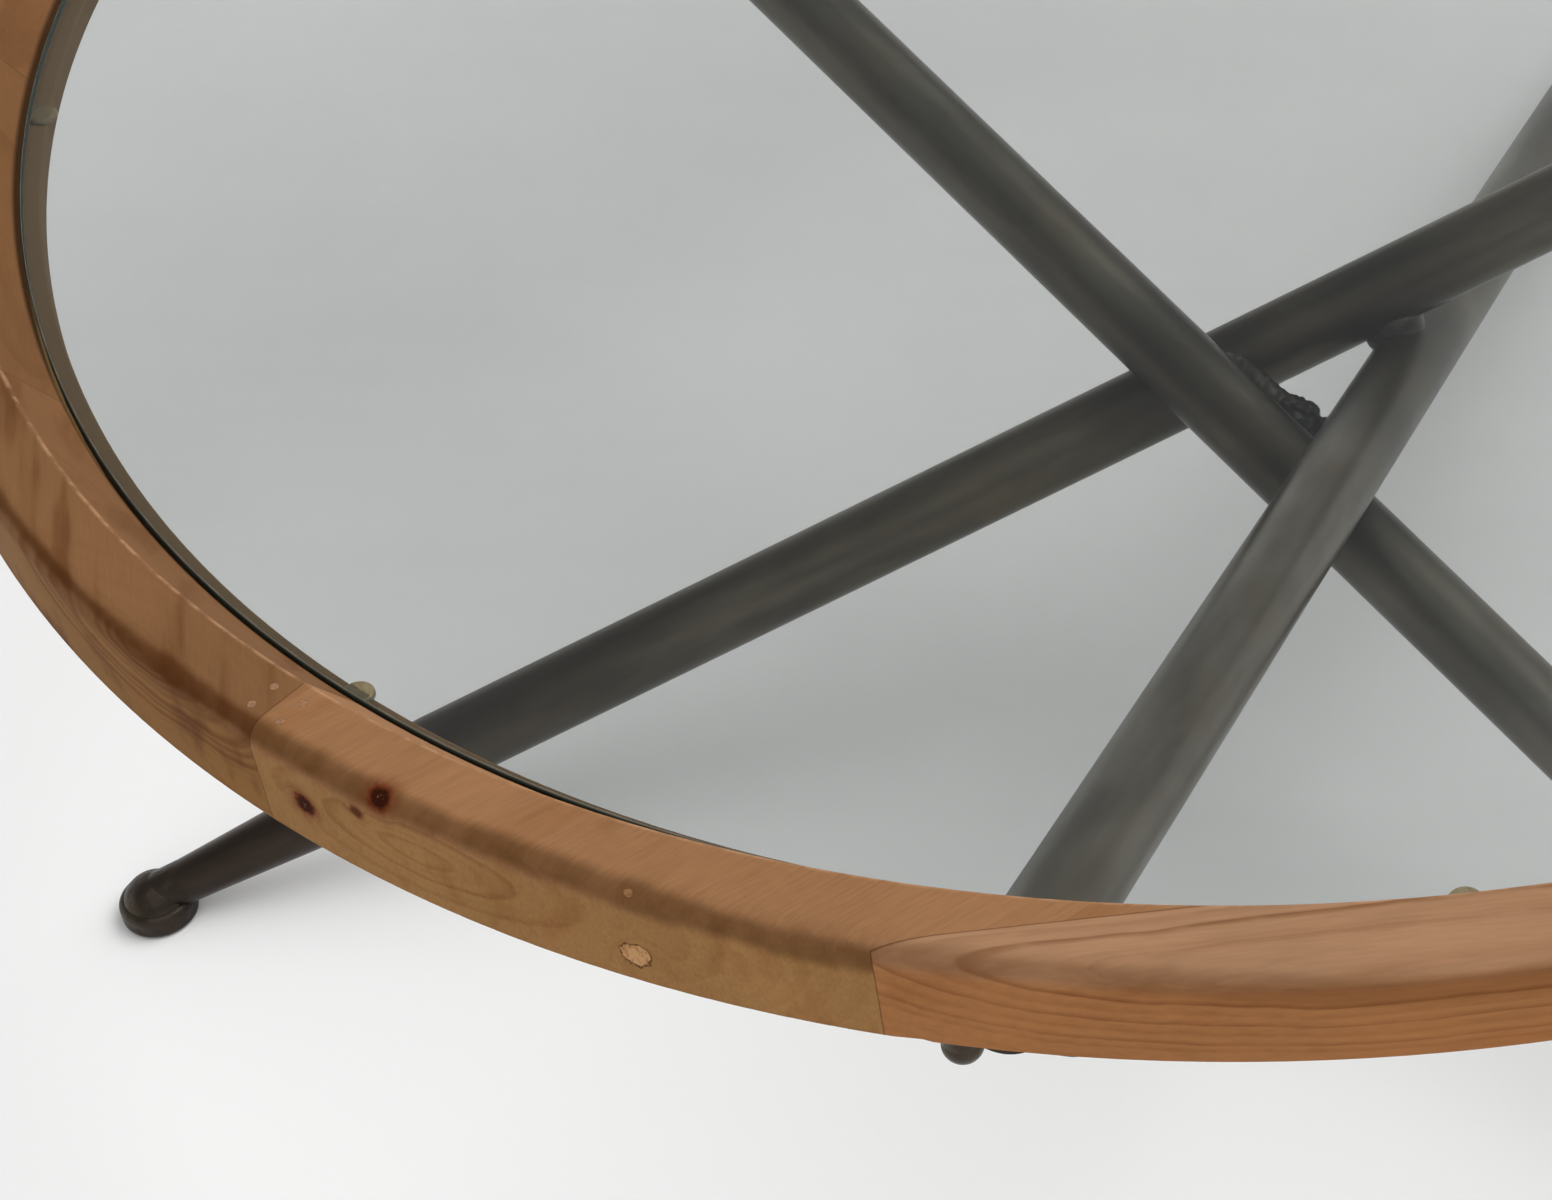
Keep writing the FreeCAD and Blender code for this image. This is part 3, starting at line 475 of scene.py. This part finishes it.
    def draw_joints(self):
        """Thin dark lines where the segments meet."""
        graph = self.graph
        gaps = []
        for joint in self.board.joints:
            turn = math.radians(joint)
            across = graph.vector("DOT_PRODUCT", self.place, (-math.sin(turn), math.cos(turn), 0))
            gaps.append(graph.math("ABSOLUTE", across))
        if self.board.scarf:
            seam = graph.vector("DOT_PRODUCT", self.place, tuple(polar(1.0, SCARF_ANGLE)))
            seam = graph.math("SUBTRACT", seam, OUTER_RADIUS - SCARF_INSET)
            side = graph.vector("DOT_PRODUCT", self.place, tuple(polar(1.0, SCARF_ANGLE + 90)))
            blunt = OUTER_RADIUS * math.sin(math.radians(BOW_TURN / 2))
            end = graph.math("SUBTRACT", graph.math("ABSOLUTE", side), blunt)
            gaps.append(graph.math("MAXIMUM", graph.math("ABSOLUTE", seam), end))
            gaps.append(graph.math("MAXIMUM", graph.math("ABSOLUTE", end), graph.times(seam, -1.0)))
        nearest = gaps[0]
        for gap in gaps[1:]:
            nearest = graph.math("MINIMUM", nearest, gap)
        joint = graph.fade(nearest, 0.05 * MM, 0.35 * MM)
        self.coat(graph.times(joint, 0.55), JOINT)
        return joint


def plain_wood(name, colour):
    """Fine straight grain for small pieces."""
    graph = material_graph(name)
    fibre = graph.noise(graph.mapped(graph.place(), scale=(900, 900, 60)), 1.0, 3.0, 0.6)
    dark = tuple(share * 0.6 for share in colour[:3]) + (1,)
    graph.surface(Base_Color=graph.mix(graph.span(fibre, 0.35, 0.65), colour, dark), Roughness=0.55,
                  Normal=graph.bump(fibre, 0.1 * MM, 0.5))
    return graph.owner


# Steel. Each tube has its own darker and lighter tone, set per tube as painted light for how each tube is
# lit; the third tube's are the lightest.

UP = Vector((0, 0, 1))
TUBE_TONES_WITH_PAINTED_LIGHT = {
    1: (linear(63, 57, 46), linear(94, 88, 74)),
    2: (linear(62, 58, 50), linear(90, 86, 76)),
    3: (linear(77, 71, 60), linear(110, 104, 92)),
}
FORGED = linear(46, 39, 34), linear(62, 53, 46)
SCREW = linear(40, 38, 36), linear(60, 58, 54)
WELD = linear(36, 36, 38), linear(60, 57, 53)
FOOT_END = linear(50, 42, 36), linear(66, 57, 50)
OLIVE = linear(92, 84, 64)
HEAT_SCALE_AND_SHADE = linear(38, 35, 31)


def tube_line(number):
    """Ends of a tube's centre line, from its mesh, foot end first."""
    points = np.array([vertex.co for vertex in cad[f"leg_tube_{number}"].data.vertices])
    middle = points.mean(0)
    along = np.linalg.svd(points - middle, full_matrices=False)[2][0]
    centre, axis = Vector(middle), Vector(along if along[2] > 0 else -along)
    reach = [(Vector(point) - centre).dot(axis) for point in points]
    return centre + axis * min(reach), centre + axis * max(reach)


def crossing(number):
    """Middle of the weld where two tubes pass."""
    return sum((Vector(corner) for corner in cad[f"crossing_weld_{number}"].bound_box), Vector()) / 8


def steel_material(name, axis, tones, rough, lumps=0.0, foot=None, olive=0.6):
    """Smooth blackened steel with stains along an axis, forged lumps in millimetres if any.

    With a foot end the steel is browner towards it and darker round the welds, heat scale together with
    painted shade where the tubes cross.
    """
    graph = material_graph(name)
    place = graph.place()
    local = graph.mapped(place, turn=tuple(axis.to_track_quat("Z", "Y").inverted().to_euler()))
    stain = graph.noise(graph.mapped(local, scale=(40, 40, 9)), 1.0, 3.0, 0.55)
    streak = graph.noise(graph.mapped(local, (1, 7, 2), scale=(130, 130, 7)), 1.0, 3.0, 0.55)
    cloud = graph.noise(graph.mapped(local, (3, 1, 4), scale=(24, 24, 14)), 1.0, 3.0, 0.55)
    colour = graph.mix(graph.span(stain, 0.35, 0.68), *tones)
    colour = graph.mix(graph.times(graph.span(cloud, 0.48, 0.70), olive), colour, OLIVE)
    if foot:
        brown = graph.mix(graph.span(stain, 0.35, 0.68), *FOOT_END)
        away = graph.vector("DISTANCE", place, tuple(foot))
        colour = graph.mix(graph.fade(away, 60 * MM, 330 * MM), colour, brown)
        # Darker round the welds: heat scale and painted shade where the tubes meet.
        for weld in range(1, LEGS + 1):
            away = graph.vector("DISTANCE", place, tuple(crossing(weld)))
            heat_and_shade = graph.times(graph.fade(away, 20 * MM, 62 * MM), graph.span(stain, 0.2, 0.6, 0.35, 0.85))
            colour = graph.mix(heat_and_shade, colour, HEAT_SCALE_AND_SHADE)
    shade = graph.span(streak, 0.3, 0.7, 0.88, 1.10, "LINEAR")
    colour = graph.mix(1.0, colour, graph.joined(shade, shade, shade), "MULTIPLY")
    roughness = graph.span(cloud, 0.3, 0.7, rough - 0.04, rough + 0.05, "LINEAR")
    inputs = {"Base_Color": colour, "Metallic": 0.85, "Roughness": roughness, "Specular_IOR_Level": 0.4}
    if lumps:
        inputs["Normal"] = graph.bump(graph.noise(place, 90.0, 3.0, 0.55), lumps * MM, 1.0)
    graph.surface(**inputs)
    return graph.owner


# Glass and bumpers.

GLASS_TINT = (0.588, 0.609, 0.600, 1)
EDGE_PAINTED_SHADE = (0.020, 0.030, 0.024, 1)
ARRIS_PAINTED_LIGHT = (0.22, 0.21, 0.17, 1)
SHADOW_TINT = (0.99, 0.995, 0.992, 1)


def glass_material():
    """Clear glass with a grey-green body, which lets the lamps' light through; its ground edge is painted
    dark as shade, with a painted highlight at the arris next to the top face.
    """
    graph = material_graph("clear_glass")
    place = graph.place()
    edge = graph.span(graph.radius(place), GLASS_RADIUS - 0.95 * MM, GLASS_RADIUS - 0.85 * MM)
    top = max(corner[2] for corner in cad["glass_top"].bound_box)
    arris = graph.span(graph.parts(place)[2], top - 0.5 * MM, top - 0.2 * MM)
    smudge = graph.noise(graph.mapped(place, scale=(7, 7, 1)), 1.0, 4.0, 0.6)
    wipe = graph.noise(graph.mapped(place, (2, 1, 0), (0, 0, 0.2), (5, 160, 1)), 1.0, 2.0)
    haze = graph.add(graph.span(smudge, 0.35, 0.7, 0.97, 1.01, "LINEAR"),
                     graph.span(wipe, 0.3, 0.7, -0.008, 0.008, "LINEAR"))
    tint = graph.mix(1.0, GLASS_TINT, graph.joined(haze, haze, haze), "MULTIPLY")
    # Painted shade on the ground edge, with a painted highlight at its top arris.
    tint = graph.mix(edge, tint, graph.mix(arris, EDGE_PAINTED_SHADE, ARRIS_PAINTED_LIGHT))
    glass = graph.surface(Base_Color=tint, Roughness=graph.times(edge, 0.45), IOR=1.5,
                          Transmission_Weight=graph.fade(edge, 0.0, 1.0), Specular_IOR_Level=0.2)
    clear = graph.node("ShaderNodeBsdfTransparent", {"Color": SHADOW_TINT})
    path = graph.node("ShaderNodeLightPath").outputs
    passing = graph.math("MAXIMUM", path["Is Shadow Ray"], path["Is Diffuse Ray"])
    graph.show(graph.node("ShaderNodeMixShader", {0: passing, 1: glass.outputs[0], 2: clear.outputs[0]}))
    return graph.owner


def bumper_material():
    graph = material_graph("clear_bumper")
    cloud = graph.span(graph.noise(graph.place(), 500.0, 2.0), 0.3, 0.7)
    graph.surface(Base_Color=graph.mix(cloud, linear(180, 154, 108), linear(204, 182, 138)),
                  Roughness=0.12, IOR=1.48, Transmission_Weight=0.75)
    return graph.owner


# Pieces that are finer than their solids.


def mesh_object(name, mesh, material):
    piece = bpy.data.objects.new(name, mesh)
    bpy.context.scene.collection.objects.link(piece)
    piece.data.materials.append(material)
    for face in piece.data.polygons:
        face.use_smooth = True
    return piece


# How far a corner may lie off a round and inwards of its middle, and the longest side that a facet keeps.
ROUND_SLACK = 0.02 * MM
FLANK_SLACK = 0.01 * MM
LONGEST_SIDE = 2.0 * MM


def round_off(number, rounds):
    """A rim segment whose long facets on the rounds are split and laid on the true round.

    Each round is its radius and the radius and height of the circle that it turns about.
    """
    source = cad[f"rim_segment_{number:02d}"].data
    points = [vertex.co.copy() for vertex in source.vertices]
    found = {}
    faces, normals = [], []

    def section(point):
        return Vector((math.hypot(point.x, point.y), point.z))

    def level(point):
        return Vector((point.x, point.y, 0)).normalized()

    def on_round(corners):
        for size, radius, height in rounds:
            away = [section(points[corner]) - Vector((radius, height)) for corner in corners]
            if all(abs(step.length - size) < ROUND_SLACK and step.x > -FLANK_SLACK for step in away):
                return size, Vector((radius, height))
        return None

    def outwards(point, centre):
        step = (section(point) - centre).normalized()
        flat = level(point)
        return Vector((flat.x * step.x, flat.y * step.x, step.y))

    def middle(first, second, size, centre):
        key = (min(first, second), max(first, second))
        if key not in found:
            point = (points[first] + points[second]) / 2
            points.append(level(point) * centre.x + Vector((0, 0, centre.y)) + outwards(point, centre) * size)
            found[key] = len(points) - 1
        return found[key]

    def split(corners, size, centre):
        sides = [(points[corners[k]] - points[corners[(k + 1) % 3]]).length for k in range(3)]
        longest = sides.index(max(sides))
        if sides[longest] < LONGEST_SIDE:
            faces.append(corners)
            normals.extend(outwards(points[corner], centre) for corner in corners)
            return
        one, two, three = corners[longest], corners[(longest + 1) % 3], corners[(longest + 2) % 3]
        between = middle(one, two, size, centre)
        split((one, between, three), size, centre)
        split((between, two, three), size, centre)

    for face in source.polygons:
        corners = tuple(face.vertices)
        place = on_round(corners) if len(corners) == 3 else None
        if place:
            split(corners, *place)
        else:
            faces.append(corners)
            normals.extend(source.corner_normals[loop].vector.copy() for loop in face.loop_indices)
    mesh = bpy.data.meshes.new(f"rim_piece_{number:02d}")
    mesh.from_pydata(points, [], faces)
    piece = mesh_object(f"rim_piece_{number:02d}", mesh, source.materials[0])
    mesh.normals_split_custom_set(normals)
    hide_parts(f"rim_segment_{number:02d}")
    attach(piece, "frame")


# Beads of the large weld along the second tube: run from the first crossing towards the next,
# distance from the tube's centre line, height over it and radius, all in millimetres.
BEADS = {
    1: [(6, 13, -6, 9.0), (14, 17, -6, 8.5), (20, 20, -5, 8.5), (27, 21, -5, 8.0), (34, 22, -5, 7.2),
        (40, 23, -5, 6.8)],
    2: [(45, 25, -4, 6.2), (49, 27, -3, 5.4), (53, 28, -2, 5.6), (51, 22, -5, 6.6), (57, 25, -4, 5.6),
        (60, 21, -4, 6.0), (66, 19, -3, 5.8), (73, 17, -2, 5.8), (80, 14, 2, 6.5), (61, 30, -4, 3.4),
        (55, 29, 1, 2.6)],
}
GRAINS = 3
SKIN_VOXEL = 0.7 * MM
SKIN_ROUGHNESS = 0.5 * MM


def weld_lump(number, beads, material):
    """The solid weld of one crossing, grown into a rough string of beads."""
    start, end = tube_line(2)
    along = (start - end).normalized()
    side = Vector((-along.y, along.x, 0)).normalized()
    side = side if side.dot(crossing(1)) < 0 else -side
    across = along.cross(side)
    across = across if across.z > 0 else -across
    origin = end + along * (crossing(1) - end).dot(along)
    mesh = bmesh.new()
    mesh.from_mesh(cad[f"crossing_weld_{number}"].data)
    draw = random.Random(number)
    for run, out, up, radius in beads:
        centre = origin + (along * run + side * out + across * up) * MM
        bmesh.ops.create_icosphere(mesh, subdivisions=3, radius=radius * MM,
                                   matrix=Matrix.Translation(centre))
        for _ in range(GRAINS):
            way = Vector((draw.gauss(0, 1), draw.gauss(0, 1), draw.gauss(0.6, 1))).normalized()
            spot = centre + way * radius * MM * 0.9
            bmesh.ops.create_icosphere(mesh, subdivisions=2, radius=draw.uniform(1.0, 2.1) * MM,
                                       matrix=Matrix.Translation(spot))
    data = bpy.data.meshes.new(f"weld_lump_{number}")
    mesh.to_mesh(data)
    mesh.free()
    piece = mesh_object(f"weld_lump_{number}", data, material)

    # One skin over the beads, roughened.
    skin = piece.modifiers.new("remesh", "REMESH")
    skin.mode = "VOXEL"
    skin.voxel_size = SKIN_VOXEL
    skin.use_smooth_shade = True
    evaluated = piece.evaluated_get(bpy.context.evaluated_depsgraph_get())
    data = bpy.data.meshes.new_from_object(evaluated)
    piece.modifiers.clear()
    piece.data = data
    for vertex in piece.data.vertices:
        rise = noise.fractal(vertex.co / MM * 0.35, 0.8, 2.0, 3)
        vertex.co += vertex.normal * rise * SKIN_ROUGHNESS
    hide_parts(f"crossing_weld_{number}")
    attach(piece, "frame")


def dress():
    """Give every CAD node its material and add the finer pieces."""
    weld = steel_material("weld_steel", UP, WELD, 0.16, 0.7, olive=0.1)
    looks = {
        "joint_plugs": plain_wood("plug_wood", linear(156, 113, 77)),
        "joint_tenons": plain_wood("tenon_wood", linear(190, 150, 110)),
        "mount_screws": steel_material("screw_steel", UP, SCREW, 0.4),
        "glass_top": glass_material(),
        "glass_bumpers": bumper_material(),
    }
    for number in range(1, SEGMENTS + 1):
        looks[f"rim_segment_{number:02d}"] = Wood(number).material
    for number in range(1, LEGS + 1):
        start, end = tube_line(number)
        axis = (end - start).normalized()
        tube = steel_material(f"tube_steel_{number}", axis, TUBE_TONES_WITH_PAINTED_LIGHT[number], 0.34, foot=start)
        forged = steel_material(f"forged_steel_{number}", axis, FORGED, 0.38, 1.2)
        looks[f"leg_tube_{number}"] = tube
        looks[f"leg_foot_{number}"] = forged
        looks[f"leg_stem_{number}"] = forged
        looks[f"mount_plate_{number}"] = tube
        looks[f"crossing_weld_{number}"] = weld
    for name, material in looks.items():
        data = cad[name].data
        data.materials.clear()
        data.materials.append(material)
    for number, beads in BEADS.items():
        weld_lump(number, beads, weld)
    lower = (LOWER_ROUND, OUTER_RADIUS - LOWER_ROUND, RIM_TOP - RIM_HEIGHT + LOWER_ROUND)
    shoulder = (SHOULDER_ROUND, OUTER_RADIUS - SHOULDER_ROUND, RIM_TOP - SHOULDER_ROUND)
    round_off(1, [lower, shoulder])


# Floor, light and camera.


def stage():
    graph = material_graph("floor")
    graph.surface(Base_Color=linear(241, 241, 241), Roughness=0.9, Specular_IOR_Level=0.0)
    reach = 60.0
    corners = [(-reach, -reach, 0), (reach, -reach, 0), (reach, reach, 0), (-reach, reach, 0)]
    mesh = bpy.data.meshes.new("floor")
    mesh.from_pydata(corners, [], [(0, 1, 2, 3)])
    mesh_object("floor", mesh, graph.owner)


def light():
    """A pale horizon under a dim dome, a soft window and two soft lamps."""
    graph = Graph(bpy.data.worlds.new("studio"), "ShaderNodeOutputWorld")
    bpy.context.scene.world = graph.owner
    way = graph.place("Generated")
    horizon, dome, window = 0.87, 0.30, 1.7
    sky = graph.ramp(graph.parts(way)["Z"], [(0.0, horizon), (0.10, horizon), (0.5, dome), (1.0, dome)])
    # The large window behind the table to the right is the main light.
    off = graph.vector("DOT_PRODUCT", way, heading(38, 44))
    pane = graph.span(off, 0.74, 0.97, 0.0, window)
    graph.show(graph.node("ShaderNodeBackground", {"Color": graph.add(sky, pane)}))

    # Soft lamps: name, azimuth and elevation they shine from, share of the floor's light, spread.
    lamps = [("front", -62, 58, 0.27, 70), ("right", 8, 60, 0.19, 40)]
    for name, azimuth, elevation, share, spread in lamps:
        data = bpy.data.lights.new(name, "SUN")
        data.angle = math.radians(spread)
        data.energy = share * math.pi / math.sin(math.radians(elevation))
        lamp = bpy.data.objects.new(name, data)
        lamp.rotation_euler = heading(azimuth, elevation).to_track_quat("Z", "Y").to_euler()
        bpy.context.scene.collection.objects.link(lamp)


def camera():
    """The photograph's viewpoint, found by fitting the rim's edges and the tubes."""
    width, tall = 1552, 1200
    focal = 3935.2
    centre_across, centre_down = 1130, 700
    place = Vector((117.4, -1275.4, 1284.7)) * MM
    pitch, yaw, roll = 0.78026, -0.16035, 0.09807
    forward = Vector((math.sin(yaw) * math.cos(pitch), math.cos(yaw) * math.cos(pitch), -math.sin(pitch)))
    right = Vector((math.cos(yaw), -math.sin(yaw), 0))
    down = forward.cross(right)
    across = right * math.cos(roll) + down * math.sin(roll)
    below = down * math.cos(roll) - right * math.sin(roll)
    data = bpy.data.cameras.new("camera")
    data.sensor_width = 36
    data.lens = focal * data.sensor_width / width
    data.shift_x = (width / 2 - centre_across) / width
    data.shift_y = (centre_down - tall / 2) / width
    item = bpy.data.objects.new("camera", data)
    axes = Matrix((across, -below, -forward)).transposed()
    item.matrix_world = Matrix.Translation(place) @ axes.to_4x4()
    bpy.context.scene.collection.objects.link(item)
    bpy.context.scene.camera = item
    bpy.context.scene.view_settings.view_transform = "Standard"


dress()
stage()
light()
camera()
